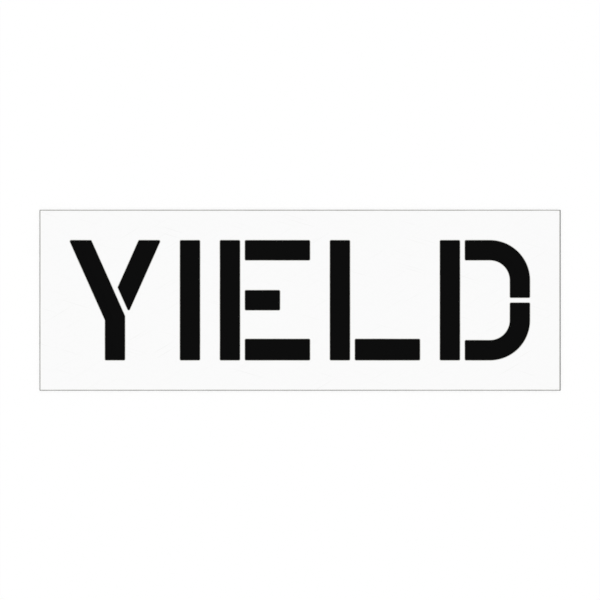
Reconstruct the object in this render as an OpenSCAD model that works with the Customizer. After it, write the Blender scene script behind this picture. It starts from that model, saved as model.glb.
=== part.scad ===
// Road marking stencil: one flat polyethylene sheet with a word cut through it.
// Paint goes through the openings, and the bridges between them hold the sheet together.
// Sizes are in millimetres. +X runs along the word, +Y up the letters, +Z up from the road.
// The origin is at the middle of the underside, which lies on the road.

/* [Sheet] */
// Thickness of the sheet
sheet_t = 3.175; // [1.5:0.025:6.5]
// Plain border between the word and the edge of the sheet
margin = 76.2; // [12.7:0.1:152.4]

/* [Letters] */
// Height of the letters
letter_h = 304.8; // [254:0.1:457.2]
// Width of the Y, the E, the L and the D, over their rounded corners
letter_w = 228.6; // [190.5:0.1:304.8]
// Gap between one letter and the next
letter_gap = 50.8; // [19:0.1:101.6]
// Width of every stroke but the feet
stroke = 50.8; // [25.4:0.1:63.5]
// Width of the feet of the E and the L, which are a little heavier
foot_stroke = 53.975; // [25.4:0.025:76.2]
// Length of the opening for the middle arm of the E
mid_arm_l = 88.9; // [25.4:0.1:152.4]
// Height of the outer bends of the Y, where its arms leave the stem
fork_h = 101.6; // [50.8:0.1:152.4]
// Outer radius of the bowl of the D
bowl_r = 101.6; // [69.8:0.1:139.7]

/* [Cutting] */
// Width of the bridges left between the openings of one letter
bridge = 12.7; // [6.3:0.1:25.4]
// Diameter of the router bit, which rounds the inside corners of the openings
bit_d = 6.35; // [3.15:0.05:12.7]

/* [Hidden] */
$fn = 96;

// The word, letter by letter, and how far from its left end each letter starts
WORD = ["Y", "I", "E", "L", "D"];
last = len(WORD) - 1;
function width_of(letter) = letter == "I" ? stroke : letter_w;
function start_of(i) = i == 0 ? 0 : start_of(i - 1) + width_of(WORD[i - 1]) + letter_gap;

word_l = start_of(last) + width_of(WORD[last]);
sheet_l = word_l + 2 * margin;
sheet_w = letter_h + 2 * margin;

// Arms and bowls start here, across the bridge from their stem
arm_x = stroke + bridge;

// The bit turns with this radius in a corner. Its circle stands a hair proud of the edges
// that it touches, so that it crosses them cleanly.
corner_r = bit_d / 2;
proud = 0.002;

// Lean of the arms of the Y from upright. Their outer edge runs from the bend to the
// outside of the rounded top corner, which is where the letter's width is measured.
fork_bend = [stroke / 2, fork_h];
fork_corner = [letter_w / 2 - corner_r, letter_h - corner_r];
fork_run = fork_corner - fork_bend;
fork_a = atan2(fork_run.x, fork_run.y) + asin(corner_r / norm(fork_run));

function unit(v) = v / norm(v);

// Where a rounded corner leaves its two edges, and the centre of its arc. A corner that
// juts into the opening stays sharp, because the bit goes round the outside of it.
function corner(before, here, after) =
    let (
        back = unit(before - here),
        ahead = unit(after - here),
        half = acos(back * ahead) / 2,
        reach = corner_r / tan(half)
    )
    cross(ahead, back) < 0
        ? [here]
        : [here + back * reach, here + ahead * reach, here + unit(back + ahead) * corner_r / sin(half)];

// An opening as the bit cuts it, from its sharp corners in counterclockwise order
module routed(points) {
    n = len(points);
    corners = [for (i = [0 : n - 1]) corner(points[(i + n - 1) % n], points[i], points[(i + 1) % n])];
    polygon([for (c = corners) each len(c) == 1 ? c : [c[0], c[1]]]);
    for (c = corners) {
        if (len(c) == 3) {
            translate(c[2]) circle(corner_r + proud);
        }
    }
}

// A straight stroke, from its lower left corner
module straight(x, y, l, h) {
    routed([[x, y], [x + l, y], [x + l, y + h], [x, y + h]]);
}

module stem() {
    straight(0, 0, stroke, letter_h);
}

// A level stroke, across the bridge from its stem
module arm(y, h, l = letter_w - arm_x) {
    straight(arm_x, y, l, h);
}

module letter_y() {
    wide = 1 / cos(fork_a);
    rise = 1 / tan(fork_a);
    outer_x = stroke / 2 + (letter_h - fork_h) / rise;
    inner_x = outer_x - stroke * wide;
    tip_x = (stroke + bridge) * wide / 2;
    crotch_x = bridge * wide / 2;
    translate([letter_w / 2, 0]) {
        // The stem and the left arm, in one opening
        routed([
            [-stroke / 2, 0],
            [stroke / 2, 0],
            [stroke / 2, fork_h + stroke * tan(fork_a / 2)],
            [-inner_x, letter_h],
            [-outer_x, letter_h],
            [-stroke / 2, fork_h]
        ]);
        // The right arm, across the bridge from the left one
        routed([
            [tip_x, fork_h + (tip_x - stroke / 2) * rise],
            [outer_x, letter_h],
            [inner_x, letter_h],
            [crotch_x, fork_h + (crotch_x + stroke * wide - stroke / 2) * rise]
        ]);
    }
}

module letter_i() {
    stem();
}

module letter_e() {
    stem();
    arm(letter_h - stroke, stroke);
    arm((letter_h - stroke) / 2, stroke, mid_arm_l);
    arm(0, foot_stroke);
}

module letter_l() {
    stem();
    arm(0, foot_stroke);
}

// The upper half of the bowl of the D: an angle whose corner is a quarter of a ring
module half_bowl() {
    end_y = (letter_h + bridge) / 2;
    ring_at = [letter_w - bowl_r, letter_h - bowl_r];
    difference() {
        routed([
            [arm_x, letter_h - stroke],
            [letter_w - stroke, letter_h - stroke],
            [letter_w - stroke, end_y],
            [letter_w, end_y],
            [letter_w, letter_h],
            [arm_x, letter_h]
        ]);
        translate(ring_at) square(letter_w);
    }
    translate(ring_at) intersection() {
        difference() {
            circle(bowl_r);
            circle(bowl_r - stroke);
        }
        square(letter_w);
    }
}

module letter_d() {
    stem();
    half_bowl();
    translate([0, letter_h]) mirror([0, 1]) half_bowl();
}

module letter(name) {
    if (name == "Y") letter_y();
    if (name == "I") letter_i();
    if (name == "E") letter_e();
    if (name == "L") letter_l();
    if (name == "D") letter_d();
}

module word() {
    for (i = [0 : last]) {
        translate([start_of(i) - word_l / 2, -letter_h / 2]) letter(WORD[i]);
    }
}

module stencil_sheet() {
    color("white") linear_extrude(sheet_t) difference() {
        square([sheet_l, sheet_w], center = true);
        word();
    }
}

stencil_sheet();
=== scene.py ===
# %% [markdown]
# # A road marking stencil
#
# The stencil is one sheet of white polyethylene, 1.32 m long and 3.2 mm thick, with a word cut through it.
# It is laid on the road, paint goes on through the openings, and it is lifted off again. There is one piece
# and nothing moves, so the looks are in three things: outlines that are exact, edges as a router bit leaves
# them, and a plastic that is white without being blank.
#
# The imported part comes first. Everything below is built in its frame, in metres.

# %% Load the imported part
import math

import bpy
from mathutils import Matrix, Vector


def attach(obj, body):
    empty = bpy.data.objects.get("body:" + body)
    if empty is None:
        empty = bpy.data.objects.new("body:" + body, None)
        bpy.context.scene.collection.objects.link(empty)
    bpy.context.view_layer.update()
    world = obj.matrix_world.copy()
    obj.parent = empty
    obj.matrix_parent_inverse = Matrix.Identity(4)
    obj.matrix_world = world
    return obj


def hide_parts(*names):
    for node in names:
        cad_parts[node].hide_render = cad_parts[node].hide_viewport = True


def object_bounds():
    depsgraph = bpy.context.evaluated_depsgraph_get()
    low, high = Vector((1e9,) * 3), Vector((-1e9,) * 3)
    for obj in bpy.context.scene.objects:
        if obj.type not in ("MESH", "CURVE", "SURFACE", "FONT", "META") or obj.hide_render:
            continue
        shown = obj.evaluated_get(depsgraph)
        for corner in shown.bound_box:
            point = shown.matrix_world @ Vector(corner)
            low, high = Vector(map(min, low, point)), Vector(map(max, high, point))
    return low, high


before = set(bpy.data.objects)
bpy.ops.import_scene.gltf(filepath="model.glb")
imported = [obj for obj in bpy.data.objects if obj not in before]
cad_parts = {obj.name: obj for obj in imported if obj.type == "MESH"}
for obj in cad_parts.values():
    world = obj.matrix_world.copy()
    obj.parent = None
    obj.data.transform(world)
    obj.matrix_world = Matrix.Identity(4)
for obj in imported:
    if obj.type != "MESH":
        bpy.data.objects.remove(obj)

cad_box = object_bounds()
low, high = cad_box
middle = (low + high) / 2
sheet_l, sheet_w, sheet_t = high - low
print(f"packed sheet: {sheet_l:.4f} x {sheet_w:.4f} x {sheet_t:.6f} m")

# %% [markdown]
# ## The camera
#
# The stencil is shown from straight above, with no perspective to speak of. An orthographic camera would
# give that, but a very long lens does so too, and it still gives other views their depth. The edges of the
# sheet are known in the picture, in pixels, so the height of the camera and the point under it follow from
# them.

# %% Camera straight above the sheet
PICTURE_PX = 600
LEFT_PX, RIGHT_PX = 40.0, 559.93
TOP_PX, BOTTOM_PX = 210.25, 390.21
LENS_MM = 200.0
SENSOR_MM = 36.0

metres_per_px = sheet_l / (RIGHT_PX - LEFT_PX)
seen = PICTURE_PX * metres_per_px

camera_data = bpy.data.cameras.new("camera")
camera_data.lens = LENS_MM
camera_data.sensor_width = SENSOR_MM
camera = bpy.data.objects.new("camera", camera_data)
camera.location = (
    middle.x + (PICTURE_PX - LEFT_PX - RIGHT_PX) / 2 * metres_per_px,
    middle.y - (PICTURE_PX - TOP_PX - BOTTOM_PX) / 2 * metres_per_px,
    high.z + seen * LENS_MM / SENSOR_MM,
)
bpy.context.scene.collection.objects.link(camera)
bpy.context.scene.camera = camera
print(f"camera {camera.location.z:.3f} m up sees {seen:.3f} m")

# %% [markdown]
# ## Helpers
#
# Three small functions serve the whole script. One turns a colour, as it is written in a paint program, into
# the linear numbers that shaders work in. One adds a node to a tree, sets it up and links it, and works for
# geometry and shader trees alike. The last starts a material with an empty tree.

# %% Colours, nodes and materials
MM = 0.001


def linear(colour):
    """The linear RGBA of an sRGB hex colour such as "F4F4F2"."""
    parts = [int(colour[i:i + 2], 16) / 255 for i in (0, 2, 4)]
    return [p / 12.92 if p <= 0.04045 else ((p + 0.055) / 1.055) ** 2.4 for p in parts] + [1.0]


def add_node(tree, kind, inputs=None, **settings):
    """Adds a node with its settings. Inputs, by name or number, are sockets to link or values to set."""
    node = tree.nodes.new(kind)
    for name, value in settings.items():
        setattr(node, name, value)
    for key, value in (inputs or {}).items():
        if isinstance(value, bpy.types.NodeSocket):
            tree.links.new(value, node.inputs[key])
        else:
            node.inputs[key].default_value = value
    return node


def new_material(name):
    """A material with an empty tree, and the tree."""
    material = bpy.data.materials.new(name)
    material.use_nodes = True
    material.node_tree.nodes.clear()
    return material, material.node_tree


print(f"mid grey, 808080, is {linear('808080')[0]:.3f} in linear light")

# %% [markdown]
# ## The gloss of the face
#
# Polyethylene sheet is extruded through a slot and polished between rolls. The eye gets a waxy, satin white
# that is duller in soft patches, where the rolls touched less. The colour hardly varies, so the patches are
# in the roughness alone. They could come from an image, but noise needs none and can be given a real size.

# %% Gloss of extruded polyethylene
SATIN = (0.43, 0.465)  # roughness where the rolls polished most and least
ROLL_PATCH = 70 * MM
MOST_NOISE = (0.35, 0.65)  # where noise mostly lies

sheet_finish, tree = new_material("extruded_polyethylene")
place = add_node(tree, "ShaderNodeTexCoord").outputs["Object"]
patches = add_node(
    tree, "ShaderNodeTexNoise", {"Vector": place, "Scale": 1 / ROLL_PATCH, "Detail": 2.0}).outputs[0]
satin = add_node(
    tree, "ShaderNodeMapRange",
    {"Value": patches, "From Min": MOST_NOISE[0], "From Max": MOST_NOISE[1],
     "To Min": SATIN[0], "To Max": SATIN[1]},
)
print(f"roughness {SATIN[0]} to {SATIN[1]}, in patches of {ROLL_PATCH / MM:.0f} mm")

# %% [markdown]
# ## Waves and die lines
#
# The face isn't quite even. It has slow, shallow waves, where the plastic shrank as it cooled, and die lines
# along the sheet, from the lips of the slot. To move the mesh for them would take many faces and hardly show,
# so they are a bump in the finish. The lines are the weaker of the two, because strong ones would look like
# brushed metal.

# %% Relief of extruded polyethylene
WAVE = 20 * MM
WAVE_DEPTH = 0.03 * MM
DIE_LINE = (900 * MM, 9 * MM)  # length and spacing
DIE_LINE_SHARE = 0.15  # of the depth of a wave

lengthwise = add_node(
    tree, "ShaderNodeMapping", {"Vector": place, "Scale": (1 / DIE_LINE[0], 1 / DIE_LINE[1], 0)})
die_lines = add_node(
    tree, "ShaderNodeTexNoise", {"Vector": lengthwise.outputs[0], "Scale": 1.0, "Detail": 2.0}).outputs[0]
waves = add_node(
    tree, "ShaderNodeTexNoise", {"Vector": place, "Scale": 1 / WAVE, "Detail": 1.0}).outputs[0]
uneven = add_node(
    tree, "ShaderNodeMath", {0: die_lines, 1: DIE_LINE_SHARE, 2: waves}, operation="MULTIPLY_ADD")
relief = add_node(
    tree, "ShaderNodeBump", {"Height": uneven.outputs[0], "Distance": WAVE_DEPTH, "Strength": 1.0})
print(f"waves of {WAVE / MM:.0f} mm, and die lines {DIE_LINE[1] / MM:.0f} mm apart")

# %% [markdown]
# ## Scuffs on the face
#
# A sheet that is stacked and dragged over others gets a few long, shallow scuffs. They could be drawn one by
# one. Here each set of them is the thin top of a noise that is stretched at a slant, so they end and fade by
# themselves. Two slants look like use, where one would look like a brushed finish.

# %% Scuffs at two slants
SCUFF = (160 * MM, 2.5 * MM)  # a real one is a hair wide, drawn wider so that it shows
SCUFF_TURNS = (math.radians(17), math.radians(-31))
NOISE_TOP = (0.68, 0.82)  # noise is rarely above this, so what passes is thin and far apart

scuffs = []
for turn in SCUFF_TURNS:
    slant = add_node(tree, "ShaderNodeMapping", {"Vector": place, "Rotation": (0, 0, turn)})
    slant = add_node(
        tree, "ShaderNodeMapping", {"Vector": slant.outputs[0], "Scale": (1 / SCUFF[0], 1 / SCUFF[1], 0)})
    streak = add_node(tree, "ShaderNodeTexNoise", {"Vector": slant.outputs[0], "Scale": 1.0, "Detail": 1.0})
    peaks = add_node(
        tree, "ShaderNodeMapRange",
        {"Value": streak.outputs[0], "From Min": NOISE_TOP[0], "From Max": NOISE_TOP[1]},
    )
    scuffs.append(peaks.outputs[0])
scuffed = add_node(tree, "ShaderNodeMath", {0: scuffs[0], 1: scuffs[1]}, operation="MAXIMUM").outputs[0]
print(f"{len(scuffs)} sets of scuffs, about {SCUFF[0] / MM:.0f} mm long")

# %% [markdown]
# ## The finished face
#
# Gloss, relief and scuffs meet in one Principled shader. A scuff is duller and a little greyer than the rest,
# so it adds to the roughness and is mixed into the colour. White polyethylene scatters light below its face,
# and Subsurface could show that, but on a flat sheet in even light it looks the same as plain colour, so
# plain colour is used.

# %% Surface of extruded polyethylene
POLYETHYLENE_IOR = 1.51
SHEET_WHITE = "FAFAFA"
SCUFF_WHITE = "F0F0EF"
SCUFF_DULLING = 0.12  # what a scuff adds to the roughness

roughness = add_node(
    tree, "ShaderNodeMath", {0: scuffed, 1: SCUFF_DULLING, 2: satin.outputs[0]}, operation="MULTIPLY_ADD")
colour = add_node(
    tree, "ShaderNodeMix", {0: scuffed, 6: linear(SHEET_WHITE), 7: linear(SCUFF_WHITE)}, data_type="RGBA")
surface = add_node(
    tree, "ShaderNodeBsdfPrincipled",
    {"Base Color": colour.outputs[2], "Roughness": roughness.outputs[0], "IOR": POLYETHYLENE_IOR,
     "Normal": relief.outputs[0]},
)
add_node(tree, "ShaderNodeOutputMaterial", {"Surface": surface.outputs[0]})
print(f"{sheet_finish.name}: {len(tree.nodes)} nodes")

# %% [markdown]
# ## The marks of the bit
#
# The bit leaves the wall duller than the rolls leave the face. Each of its flutes takes a chip at every turn,
# and each chip leaves a shallow upright mark. To model the marks would take a great many faces. Here they are
# noise with no change in height, so they run straight up the wall wherever it turns.

# %% Marks in routed polyethylene
CHIP_MARK = 1.5 * MM  # a real one is a few tenths wide, drawn wider so that it shows

routed_finish, tree = new_material("routed_polyethylene")
place = add_node(tree, "ShaderNodeTexCoord").outputs["Object"]
upright = add_node(
    tree, "ShaderNodeMapping", {"Vector": place, "Scale": (1 / CHIP_MARK, 1 / CHIP_MARK, 0)})
marks = add_node(
    tree, "ShaderNodeTexNoise", {"Vector": upright.outputs[0], "Scale": 1.0, "Detail": 1.0}).outputs[0]
print(f"chip marks {CHIP_MARK / MM:.1f} mm wide")

# %% [markdown]
# ## The dulled edge
#
# A scraper breaks the edge and dulls a narrow band of the face with it. The cut and that band are painted grey,
# as shade along the edge. The grey is deeper here and lighter there in slow patches, and deeper on the ridges
# of the marks. So the eye sees a soft grey line round every opening, and fine ribs in a close view. The marks
# and the slow patches are summed, and the sum sets the colour and the roughness together.

# %% Surface of routed polyethylene
# painted shade: both greys darken the cut and its band, so every edge shows as a grey line
ROUTED_SHADED_WHITE = "DCDCD9"
ROUTED_SHADE_GREY = "C4C4C0"
ROUTED_ROUGHNESS = (0.45, 0.65)
CHIP_DEPTH = 0.15 * MM
SLOW_PATCH = 80 * MM
TWO_NOISES = (0.75, 1.25)  # where the sum of two noises mostly lies

slow_patches = add_node(
    tree, "ShaderNodeTexNoise", {"Vector": place, "Scale": 1 / SLOW_PATCH, "Detail": 1.0}).outputs[0]
both = add_node(tree, "ShaderNodeMath", {0: marks, 1: slow_patches}, operation="ADD")
dull_and_shade = add_node(
    tree, "ShaderNodeMapRange",
    {"Value": both.outputs[0], "From Min": TWO_NOISES[0], "From Max": TWO_NOISES[1]}).outputs[0]
# painted edge shade, greyer on the ridges of the marks and in slow patches
colour = add_node(
    tree, "ShaderNodeMix", {0: dull_and_shade, 6: linear(ROUTED_SHADED_WHITE), 7: linear(ROUTED_SHADE_GREY)}, data_type="RGBA")
roughness = add_node(
    tree, "ShaderNodeMapRange",
    {"Value": dull_and_shade, "To Min": ROUTED_ROUGHNESS[0], "To Max": ROUTED_ROUGHNESS[1]},
)
relief = add_node(tree, "ShaderNodeBump", {"Height": marks, "Distance": CHIP_DEPTH, "Strength": 1.0})
surface = add_node(
    tree, "ShaderNodeBsdfPrincipled",
    {"Base Color": colour.outputs[2], "Roughness": roughness.outputs[0], "IOR": POLYETHYLENE_IOR,
     "Normal": relief.outputs[0]},
)
add_node(tree, "ShaderNodeOutputMaterial", {"Surface": surface.outputs[0]})
print(f"{routed_finish.name}: {len(tree.nodes)} nodes")

# %% [markdown]
# ## Straight strokes
#
# Most openings are straight strokes with corners as round as the bit. A stroke could be drawn with its arcs
# at once, but then every radius would be fixed in the points. Here it is drawn by its sharp corners, and each
# corner carries the radius that it will be rounded to later. A letter with a stem has its arms across a
# bridge of plastic, so that the sheet stays in one piece.

# %% Sizes, and the strokes that the letters share
LETTER_H = 304.8 * MM
LETTER_W = 228.6 * MM
STROKE = 50.8 * MM
FOOT_STROKE = 53.975 * MM
MID_ARM_L = 88.9 * MM
BRIDGE = 12.7 * MM
BIT_R = 3.175 * MM
ARM_X = STROKE + BRIDGE


def bar(x, y, length, height):
    """A straight stroke, counterclockwise from its lower left corner."""
    return [
        (x, y, BIT_R),
        (x + length, y, BIT_R),
        (x + length, y + height, BIT_R),
        (x, y + height, BIT_R),
    ]


def stem():
    """The upright stroke on the left of a letter."""
    return bar(0, 0, STROKE, LETTER_H)


def arm(y, height, length=LETTER_W - ARM_X):
    """A level stroke, across the bridge from its stem."""
    return bar(ARM_X, y, length, height)


print(f"a stem is {STROKE / MM:.1f} x {LETTER_H / MM:.1f} mm, an arm {(LETTER_W - ARM_X) / MM:.1f} mm long")

# %% [markdown]
# ## The fork of the Y
#
# The Y has two openings: its stem with the left arm, and the right arm across a bridge. The arms are as wide
# as the stem, so once their lean is known, every corner follows from it. The lean itself follows from the
# outer corner at the top, which the bit rounds off just inside the letter's width.

# %% The two openings of the Y
FORK_H = 101.6 * MM
CORNER_R = 1.8 * MM  # outer bends, which no bit turns in, wider than the edge that is swept round them


def fork():
    """The corners of the Y, counterclockwise in each opening."""
    run_x = LETTER_W / 2 - BIT_R - STROKE / 2
    run_y = LETTER_H - BIT_R - FORK_H
    lean = math.atan2(run_x, run_y) + math.asin(BIT_R / math.hypot(run_x, run_y))
    wide = 1 / math.cos(lean)
    rise = 1 / math.tan(lean)
    mid = LETTER_W / 2
    half = STROKE / 2
    outer = half + (LETTER_H - FORK_H) / rise
    inner = outer - STROKE * wide
    tip = (STROKE + BRIDGE) * wide / 2
    crotch = BRIDGE * wide / 2
    left = [
        (mid - half, 0, BIT_R),
        (mid + half, 0, BIT_R),
        (mid + half, FORK_H + STROKE * math.tan(lean / 2), BIT_R),
        (mid - inner, LETTER_H, BIT_R),
        (mid - outer, LETTER_H, BIT_R),
        (mid - half, FORK_H, CORNER_R),
    ]
    right = [
        (mid + tip, FORK_H + (tip - half) * rise, BIT_R),
        (mid + outer, LETTER_H, BIT_R),
        (mid + inner, LETTER_H, BIT_R),
        (mid + crotch, FORK_H + (crotch + STROKE * wide - half) * rise, BIT_R),
    ]
    return [left, right]


print(f"the openings of the Y have {[len(corners) for corners in fork()]} corners")

# %% [markdown]
# ## The bowl of the D
#
# The bowl is two openings, one above the other, with a bridge between them on the right. Each is an angle
# with one large rounded corner. The outer and the inner arc share a middle, so the stroke stays equally wide
# round the bend.

# %% The two halves of the bowl
BOWL_R = 101.6 * MM


def bowl():
    """The corners of the bowl, counterclockwise in each half."""
    end = (LETTER_H + BRIDGE) / 2
    upper = [
        (ARM_X, LETTER_H - STROKE, BIT_R),
        (LETTER_W - STROKE, LETTER_H - STROKE, BOWL_R - STROKE),
        (LETTER_W - STROKE, end, BIT_R),
        (LETTER_W, end, BIT_R),
        (LETTER_W, LETTER_H, BOWL_R),
        (ARM_X, LETTER_H, BIT_R),
    ]
    lower = [(x, LETTER_H - y, radius) for x, y, radius in reversed(upper)]
    return [upper, lower]


print(f"the bowl turns at {(BOWL_R - STROKE) / MM:.1f} mm inside and {BOWL_R / MM:.1f} mm outside")

# %% [markdown]
# ## The word on the sheet
#
# The letters stand side by side with equal gaps, in the middle of the sheet. The rim of the sheet is one more
# outline. It runs clockwise and the openings run counterclockwise, so that for each of them the plastic lies
# on the same hand, which is what the sweep of the wall will need.

# %% All outlines in their places
LETTER_GAP = 50.8 * MM

letters = [
    (LETTER_W, fork()),
    (STROKE, [stem()]),
    (LETTER_W, [
        stem(),
        arm(LETTER_H - STROKE, STROKE),
        arm((LETTER_H - STROKE) / 2, STROKE, MID_ARM_L),
        arm(0, FOOT_STROKE),
    ]),
    (LETTER_W, [stem(), arm(0, FOOT_STROKE)]),
    (LETTER_W, [stem()] + bowl()),
]
word_l = sum(width for width, _ in letters) + LETTER_GAP * (len(letters) - 1)

sheet_corners = [(low.x, low.y), (low.x, high.y), (high.x, high.y), (high.x, low.y)]
loops = [[(x, y, CORNER_R) for x, y in sheet_corners]]
start = middle.x - word_l / 2
foot = middle.y - LETTER_H / 2
for width, outlines in letters:
    loops += [[(start + x, foot + y, radius) for x, y, radius in outline] for outline in outlines]
    start += width + LETTER_GAP
print(f"{len(loops) - 1} openings, in a word {word_l:.4f} m long on a sheet of {sheet_l:.4f} m")

# %% [markdown]
# ## The cage
#
# Geometry Nodes start from a mesh, so the outlines become one: points and edges with no faces. The radius of
# each corner goes along as an attribute of its point, and so does the number of steps in its arc. The steps
# keep a square corner within a hundredth of a millimetre of its arc, so the large bowl gets more of them than
# a small corner does.

# %% The cage that carries the outlines
ARC_ERROR = 0.01 * MM

points = [(x, y, low.z) for loop in loops for x, y, _ in loop]
radii = [radius for loop in loops for _, _, radius in loop]
edges = []
for loop in loops:
    first = len(edges)
    edges += [(first + i, first + (i + 1) % len(loop)) for i in range(len(loop))]

cage = bpy.data.meshes.new("stencil_outlines")
cage.from_pydata(points, edges, [])
steps = [round(math.pi / 4 / math.acos(1 - ARC_ERROR / radius)) for radius in radii]
cage.attributes.new("corner_radius", "FLOAT", "POINT").data.foreach_set("value", radii)
cage.attributes.new("arc_steps", "INT", "POINT").data.foreach_set("value", steps)
sheet = bpy.data.objects.new("routed_sheet", cage)
bpy.context.scene.collection.objects.link(sheet)
print(f"{len(points)} corners, with arcs of {min(steps)} to {max(steps)} steps")

# %% [markdown]
# ## A tree with named inputs
#
# The cut edge follows the outlines, so Geometry Nodes make it, and the two faces with it. A tree of nodes is
# like a function. Its sizes and finishes are named inputs, so that they stand in one place, and a thicker
# sheet or a rounder edge needs no other tree.

# %% Inputs of the tree
INPUTS = {
    "Outlines": "Geometry",
    "Thickness": "Float",
    "Edge radius": "Float",
    "Lip": "Float",
    "Edge steps": "Int",
    "Face finish": "Material",
    "Cut finish": "Material",
}

tree = bpy.data.node_groups.new("routed_sheet", "GeometryNodeTree")
tree.interface.new_socket("Geometry", in_out="OUTPUT", socket_type="NodeSocketGeometry")
sockets = {
    name: tree.interface.new_socket(name, in_out="INPUT", socket_type=f"NodeSocket{kind}")
    for name, kind in INPUTS.items()
}
given = add_node(tree, "NodeGroupInput").outputs
print(f"{len(sockets)} inputs: {', '.join(sockets)}")

# %% [markdown]
# ## The path of the bit
#
# The cage becomes curves, and Fillet Curve rounds each corner by its own radius. An upright normal on the
# curves keeps the wall from twisting as it goes round. Each point also keeps how far along its outline it
# is, and which outline that is, for a map of the finishes further on.

# %% Rounded curves
radius = add_node(tree, "GeometryNodeInputNamedAttribute", {"Name": "corner_radius"}, data_type="FLOAT")
count = add_node(tree, "GeometryNodeInputNamedAttribute", {"Name": "arc_steps"}, data_type="INT")
path = add_node(tree, "GeometryNodeMeshToCurve", {"Mesh": given["Outlines"]})
path = add_node(
    tree, "GeometryNodeFilletCurve",
    {"Curve": path.outputs[0], "Radius": radius.outputs[0], "Count": count.outputs[0], "Limit Radius": True},
    mode="POLY",
)
path = add_node(
    tree, "GeometryNodeSetCurveNormal", {"Curve": path.outputs[0], "Normal": (0, 0, 1)}, mode="FREE")

how_far = add_node(tree, "GeometryNodeSplineParameter").outputs["Factor"]
which_loop = add_node(tree, "GeometryNodeCurveOfPoint").outputs["Curve Index"]
path = add_node(
    tree, "GeometryNodeStoreNamedAttribute",
    {"Geometry": path.outputs[0], "Name": "along", "Value": how_far}, data_type="FLOAT", domain="POINT",
)
path = add_node(
    tree, "GeometryNodeStoreNamedAttribute",
    {"Geometry": path.outputs[0], "Name": "row", "Value": which_loop}, data_type="INT", domain="POINT",
)
print(f"{len(tree.nodes)} nodes to the path")

# %% [markdown]
# ## The profile of the cut
#
# A wall cut by a router is straight, with its two edges broken so that they don't catch a glove. With the
# normal upright, X of a profile is height and Y is the way into the plastic, so this one comes out along the
# bottom, goes up the wall and in over the top, and Fillet Curve rounds its two corners. The short flat lip at
# both ends is the dulled band of the face, which the cut finish paints grey as edge shade, and it lets the
# shading turn from round to flat without a crease.

# %% Profile
reach = add_node(tree, "ShaderNodeMath", {0: given["Lip"], 1: given["Edge radius"]}, operation="ADD")
bottom_in = add_node(tree, "ShaderNodeCombineXYZ", {"Y": reach.outputs[0]})
top_out = add_node(tree, "ShaderNodeCombineXYZ", {"X": given["Thickness"]})
top_in = add_node(tree, "ShaderNodeCombineXYZ", {"X": given["Thickness"], "Y": reach.outputs[0]})
profile = add_node(
    tree, "GeometryNodeCurvePrimitiveQuadrilateral",
    {"Point 1": bottom_in.outputs[0], "Point 2": (0, 0, 0), "Point 3": top_out.outputs[0],
     "Point 4": top_in.outputs[0]},
    mode="POINTS",
)
profile = add_node(tree, "GeometryNodeSetSplineCyclic", {0: profile.outputs[0], "Cyclic": False})
profile = add_node(
    tree, "GeometryNodeFilletCurve",
    {"Curve": profile.outputs[0], "Radius": given["Edge radius"], "Count": given["Edge steps"]},
    mode="POLY",
)
profile = add_node(
    tree, "GeometryNodeStoreNamedAttribute",
    {"Geometry": profile.outputs[0], "Name": "across", "Value": how_far}, data_type="FLOAT", domain="POINT",
)
print(f"{len(tree.nodes)} nodes to the profile")

# %% [markdown]
# ## The wall
#
# The outlines could be extruded and their edges bevelled afterwards. A sweep gives the wall and both broken
# edges in one step, with even faces in the arcs: Curve to Mesh takes the profile along every path at once.
# The wall is marked as cut, so that it can get its own finish later.

# %% Sweep
wall = add_node(
    tree, "GeometryNodeCurveToMesh", {"Curve": path.outputs[0], "Profile Curve": profile.outputs[0]})
wall = add_node(
    tree, "GeometryNodeStoreNamedAttribute",
    {"Geometry": wall.outputs[0], "Name": "cut", "Value": True}, data_type="BOOLEAN", domain="FACE",
)
print(f"{len(tree.nodes)} nodes to the wall")

# %% [markdown]
# ## The two faces
#
# The wall is open where the faces of the sheet belong. Its rim at the bottom, the edges there with one
# neighbour, is turned back into curves and filled, and Fill Curve leaves the openings free by itself. The
# fill serves twice: turned over as the underside, and lifted as the top.

# %% Underside and top
sides = add_node(tree, "GeometryNodeInputMeshEdgeNeighbors")
is_rim = add_node(
    tree, "FunctionNodeCompare", {2: sides.outputs[0], 3: 1}, data_type="INT", operation="EQUAL")
position = add_node(tree, "GeometryNodeInputPosition")
height = add_node(tree, "ShaderNodeSeparateXYZ", {0: position.outputs[0]})
half_t = add_node(tree, "ShaderNodeMath", {0: given["Thickness"], 1: 0.5}, operation="MULTIPLY")
is_low = add_node(
    tree, "FunctionNodeCompare", {0: height.outputs["Z"], 1: half_t.outputs[0]}, operation="LESS_THAN")
low_rim = add_node(
    tree, "FunctionNodeBooleanMath", {0: is_rim.outputs[0], 1: is_low.outputs[0]}, operation="AND")
outline = add_node(
    tree, "GeometryNodeMeshToCurve", {"Mesh": wall.outputs[0], "Selection": low_rim.outputs[0]})
face = add_node(tree, "GeometryNodeFillCurve", {"Curve": outline.outputs[0]}, mode="TRIANGLES")
underside = add_node(tree, "GeometryNodeFlipFaces", {"Mesh": face.outputs[0]})
lift = add_node(tree, "ShaderNodeCombineXYZ", {"Z": given["Thickness"]})
top = add_node(
    tree, "GeometryNodeTransform", {"Geometry": face.outputs[0], "Translation": lift.outputs[0]})
print(f"{len(tree.nodes)} nodes to the faces")

# %% [markdown]
# ## A map for the finishes
#
# For use outside Blender the finishes can be baked into one square image, and a map says where each face of the
# mesh lies in it. Blender can lay out a map by itself, but then a narrow cut shares its few pixels with the
# wide face beside it, and its marks blur. Here each outline gets a row of its own, as long as the image is
# wide. The top and the underside lie above the rows, both as they are seen from above, so that their places are
# plain multiples of X and Y.

# %% Room for the faces
MAP_PX = 1024  # the width of the image
PROFILE_PX = 10
SPARE_PX = 3  # between one place and the next

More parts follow.
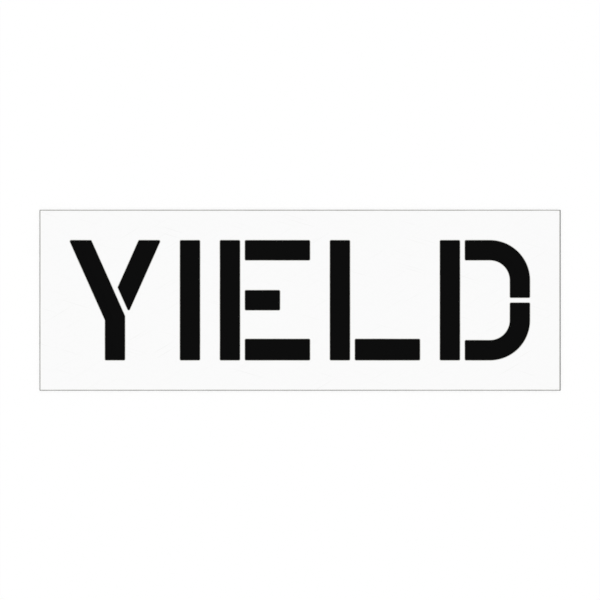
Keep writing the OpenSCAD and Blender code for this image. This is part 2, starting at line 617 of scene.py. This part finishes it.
row_px = PROFILE_PX + SPARE_PX
rows_px = row_px * len(loops)
face_px = (MAP_PX - rows_px) / 2
stretch = (1 / sheet_l, (face_px - SPARE_PX) / MAP_PX / sheet_w, 0)
laid = []
for side, first_px in ((top, rows_px), (underside, rows_px + face_px)):
    shift = (0.5 - middle.x * stretch[0], (first_px + face_px / 2) / MAP_PX - middle.y * stretch[1], 0)
    spot = add_node(
        tree, "ShaderNodeVectorMath", {0: position.outputs[0], 1: stretch, 2: shift},
        operation="MULTIPLY_ADD",
    )
    laid.append((side, spot))
print(f"{len(loops)} rows of {row_px} pixels, and {face_px:.1f} for each face")

# %% [markdown]
# ## Rows of the map
#
# A row runs along its outline, with the profile of the wall across it. Only the face that closes an outline
# needs care. It leads back to the first point, which is 0 along the row, but has to be 1 for this face. Such
# a face is known by its mean, which is far ahead of that point. No side is half of its outline, so no other
# face has a mean that is a quarter ahead of its corner.

# %% Rows for the cuts
CLOSING_LEAD = 0.25  # as a share of the outline

along = add_node(tree, "GeometryNodeInputNamedAttribute", {"Name": "along"}, data_type="FLOAT").outputs[0]
across = add_node(tree, "GeometryNodeInputNamedAttribute", {"Name": "across"}, data_type="FLOAT").outputs[0]
row = add_node(tree, "GeometryNodeInputNamedAttribute", {"Name": "row"}, data_type="INT").outputs[0]
mean = add_node(tree, "GeometryNodeFieldOnDomain", {0: along}, data_type="FLOAT", domain="FACE")
lead = add_node(tree, "ShaderNodeMath", {0: mean.outputs[0], 1: along}, operation="SUBTRACT")
closes = add_node(tree, "ShaderNodeMath", {0: lead.outputs[0], 1: CLOSING_LEAD}, operation="GREATER_THAN")
map_x = add_node(tree, "ShaderNodeMath", {0: along, 1: closes.outputs[0]}, operation="ADD")
in_row = add_node(
    tree, "ShaderNodeMath", {0: across, 1: PROFILE_PX / MAP_PX, 2: SPARE_PX / 2 / MAP_PX},
    operation="MULTIPLY_ADD",
)
map_y = add_node(
    tree, "ShaderNodeMath", {0: row, 1: row_px / MAP_PX, 2: in_row.outputs[0]}, operation="MULTIPLY_ADD")
spot = add_node(tree, "ShaderNodeCombineXYZ", {"X": map_x.outputs[0], "Y": map_y.outputs[0]})
laid.append((wall, spot))
print(f"{len(tree.nodes)} nodes to the map")

# %% [markdown]
# ## One closed sheet
#
# The wall and the two faces get their places in the map and are joined. Their rims lie on each other, so
# merging the doubles closes the sheet. All of it gets the finish of the face, and what was marked as cut then
# gets that of the cut.

# %% Joining, closing and finishes
MAP_NAME = "OFBake"  # the export keeps a map of this name
DOUBLES = 0.001 * MM

whole = add_node(tree, "GeometryNodeJoinGeometry")
for part, spot in laid:
    placed = add_node(
        tree, "GeometryNodeStoreNamedAttribute",
        {"Geometry": part.outputs[0], "Name": MAP_NAME, "Value": spot.outputs[0]},
        data_type="FLOAT2", domain="CORNER",
    )
    tree.links.new(placed.outputs[0], whole.inputs[0])
whole = add_node(tree, "GeometryNodeMergeByDistance", {"Geometry": whole.outputs[0], "Distance": DOUBLES})
whole = add_node(tree, "GeometryNodeSetShadeSmooth", {"Geometry": whole.outputs[0], "Shade Smooth": True})
whole = add_node(tree, "GeometryNodeRealizeInstances", {"Geometry": whole.outputs[0]})
whole = add_node(
    tree, "GeometryNodeSetMaterial", {"Geometry": whole.outputs[0], "Material": given["Face finish"]})
is_cut = add_node(tree, "GeometryNodeInputNamedAttribute", {"Name": "cut"}, data_type="BOOLEAN")
whole = add_node(
    tree, "GeometryNodeSetMaterial",
    {"Geometry": whole.outputs[0], "Selection": is_cut.outputs[0], "Material": given["Cut finish"]},
)
add_node(tree, "NodeGroupOutput", {"Geometry": whole.outputs[0]})
print(f"{len(tree.nodes)} nodes to the finished sheet")

# %% [markdown]
# ## From nodes to a plain mesh
#
# A modifier would do for a render, but the sheet is also meant for use outside Blender, so it is turned into a
# plain mesh once and the modifier is taken off. Its inputs are set by the identifiers of their sockets, because
# a name alone isn't a key.

# %% Make the sheet
sizes = {
    "Thickness": sheet_t,
    "Edge radius": 0.6 * MM,
    "Lip": 1.0 * MM,
    "Edge steps": 4,
    "Face finish": sheet_finish,
    "Cut finish": routed_finish,
}

modifier = sheet.modifiers.new("routed_sheet", "NODES")
modifier.node_group = tree
for name, value in sizes.items():
    modifier[sockets[name].identifier] = value
made = sheet.evaluated_get(bpy.context.evaluated_depsgraph_get())
mesh = bpy.data.meshes.new_from_object(made)
mesh.name = "routed_sheet"
if mesh.materials[0] is None:  # the nodes put an empty slot first
    mesh.materials.pop(index=0)
for name in ("corner_radius", "arc_steps", "along", "row", "across", "cut"):  # these have done their work
    mesh.attributes.remove(mesh.attributes[name])
sheet.modifiers.remove(modifier)
sheet.data = mesh
bpy.data.meshes.remove(cage)
print(f"sheet: {len(mesh.vertices)} points, {len(mesh.polygons)} faces, {[m.name for m in mesh.materials]}")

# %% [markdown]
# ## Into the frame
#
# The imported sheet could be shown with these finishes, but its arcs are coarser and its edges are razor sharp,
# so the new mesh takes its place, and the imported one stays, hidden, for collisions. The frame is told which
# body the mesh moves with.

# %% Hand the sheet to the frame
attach(sheet, "root")
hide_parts("stencil_sheet")
print(f"{sheet.name} stands for the packed sheet")

# %% [markdown]
# ## The finishes of the floor
#
# The floor is plain and pale. Under the sheet lies a black mat, which shows through the openings, so that the
# word reads as it will when it is painted. Both are matt and neither is part of the stencil, so a Diffuse
# shader with one colour is enough for each.

# %% Finishes of floor and mat
FLOOR_WHITE = "FFFFFF"
MAT_AND_SHADOW_BLACK = "0E0E0E"

floor_mesh = bpy.data.meshes.new("floor")
# past the sheet, the black of the mat is a painted contact shadow
for name, colour in (("pale_studio_floor", FLOOR_WHITE), ("black_mat_and_edge_shadow", MAT_AND_SHADOW_BLACK)):
    finish, tree = new_material(name)
    surface = add_node(tree, "ShaderNodeBsdfDiffuse", {"Color": linear(colour)})
    add_node(tree, "ShaderNodeOutputMaterial", {"Surface": surface.outputs[0]})
    floor_mesh.materials.append(finish)
print(f"floor finishes: {[finish.name for finish in floor_mesh.materials]}")

# %% [markdown]
# ## The floor with its mat
#
# The mat is hardly larger than the sheet, so it also shows as a thin dark line round the sheet. That line is a
# painted contact shadow, which parts white plastic from a white floor, and it reaches further on the right,
# where the lamp's shadow falls. It could be a plane of its own on the floor, but two planes that lie on each
# other flicker, so it fills a hole in the floor.

# %% Floor with a black mat under the sheet
FLOOR_SIZE = 60.0
FLOOR_GAP = 0.1 * MM  # between the floor and the sheet
# painted contact shadow: how far the black reaches past the sheet, wider on the right where the lamp's shadow
# falls
SHADOW_BORDER_X = 1.5 * MM  # how far the mat reaches past the sheet
SHADOW_BORDER_Y = 0.95 * MM
SHADOW_SHIFT = 0.25 * MM  # to the right, where the line is darker


def level_corners(centre_x, length, width):
    """Four corners at the height of the floor, counterclockwise."""
    return [
        (centre_x + x * length / 2, middle.y + y * width / 2, low.z - FLOOR_GAP)
        for x, y in ((-1, -1), (1, -1), (1, 1), (-1, 1))
    ]


corners = level_corners(middle.x, FLOOR_SIZE, FLOOR_SIZE)
corners += level_corners(middle.x + SHADOW_SHIFT, sheet_l + 2 * SHADOW_BORDER_X, sheet_w + 2 * SHADOW_BORDER_Y)
floor_faces = [(i, (i + 1) % 4, 4 + (i + 1) % 4, 4 + i) for i in range(4)]
floor_mesh.from_pydata(corners, [], floor_faces + [(4, 5, 6, 7)])
floor_mesh.polygons[len(floor_faces)].material_index = 1
floor = bpy.data.objects.new("floor", floor_mesh)
bpy.context.scene.collection.objects.link(floor)
print(f"floor {FLOOR_SIZE} m, mat {SHADOW_BORDER_X / MM:.2f} mm past the ends of the sheet")

# %% [markdown]
# ## The sky
#
# A sheet this flat needs light from all round. Lamps on every side could give it, but a white sky is simpler
# and leaves no bright spots in the gloss. It gives a little less than full white, to leave room for a lamp.
# What the camera, or a gloss, sees of the sky itself is plain white.

# %% White sky
SKY = 0.915

world = bpy.data.worlds.new("studio")
world.use_nodes = True
tree = world.node_tree
tree.nodes.clear()
ray = add_node(tree, "ShaderNodeLightPath").outputs
shown = add_node(
    tree, "ShaderNodeMath", {0: ray["Is Camera Ray"], 1: ray["Is Glossy Ray"]}, operation="MAXIMUM")
shown = add_node(
    tree, "ShaderNodeMath", {0: shown.outputs[0], 1: ray["Is Transmission Ray"]}, operation="MAXIMUM")
strength = add_node(
    tree, "ShaderNodeMapRange", {"Value": shown.outputs[0], "To Min": SKY, "To Max": 1.0})
sky = add_node(
    tree, "ShaderNodeBackground", {"Color": linear("FFFFFF"), "Strength": strength.outputs[0]})
add_node(tree, "ShaderNodeOutputWorld", {"Surface": sky.outputs[0]})
bpy.context.scene.world = world
print(f"the sky lights a level surface at {SKY} of full white")

# %% [markdown]
# ## The lamp
#
# A little more light comes from the left, so that the edges throw a thin soft shadow. An area lamp would
# light the near end more than the far one. A sun lamp is even all over, and a wide one throws soft shadows.
# Sky and lamp together light a level surface at full white, and the Standard view shows it so, with no film
# curve, so that a colour comes out as it is written.

# %% Soft lamp from the left
LAMP = 0.35
LAMP_ELEVATION = math.radians(50)
LAMP_ANGLE = math.radians(60)

lamp_data = bpy.data.lights.new("soft_lamp", "SUN")
lamp_data.energy = LAMP
lamp_data.angle = LAMP_ANGLE
lamp = bpy.data.objects.new("soft_lamp", lamp_data)
lamp.rotation_euler = (0, LAMP_ELEVATION - math.pi / 2, 0)
bpy.context.scene.collection.objects.link(lamp)
bpy.context.scene.view_settings.view_transform = "Standard"
level = SKY + LAMP * math.sin(LAMP_ELEVATION) / math.pi
print(f"a white surface that lies level shows {level:.3f} of full white")
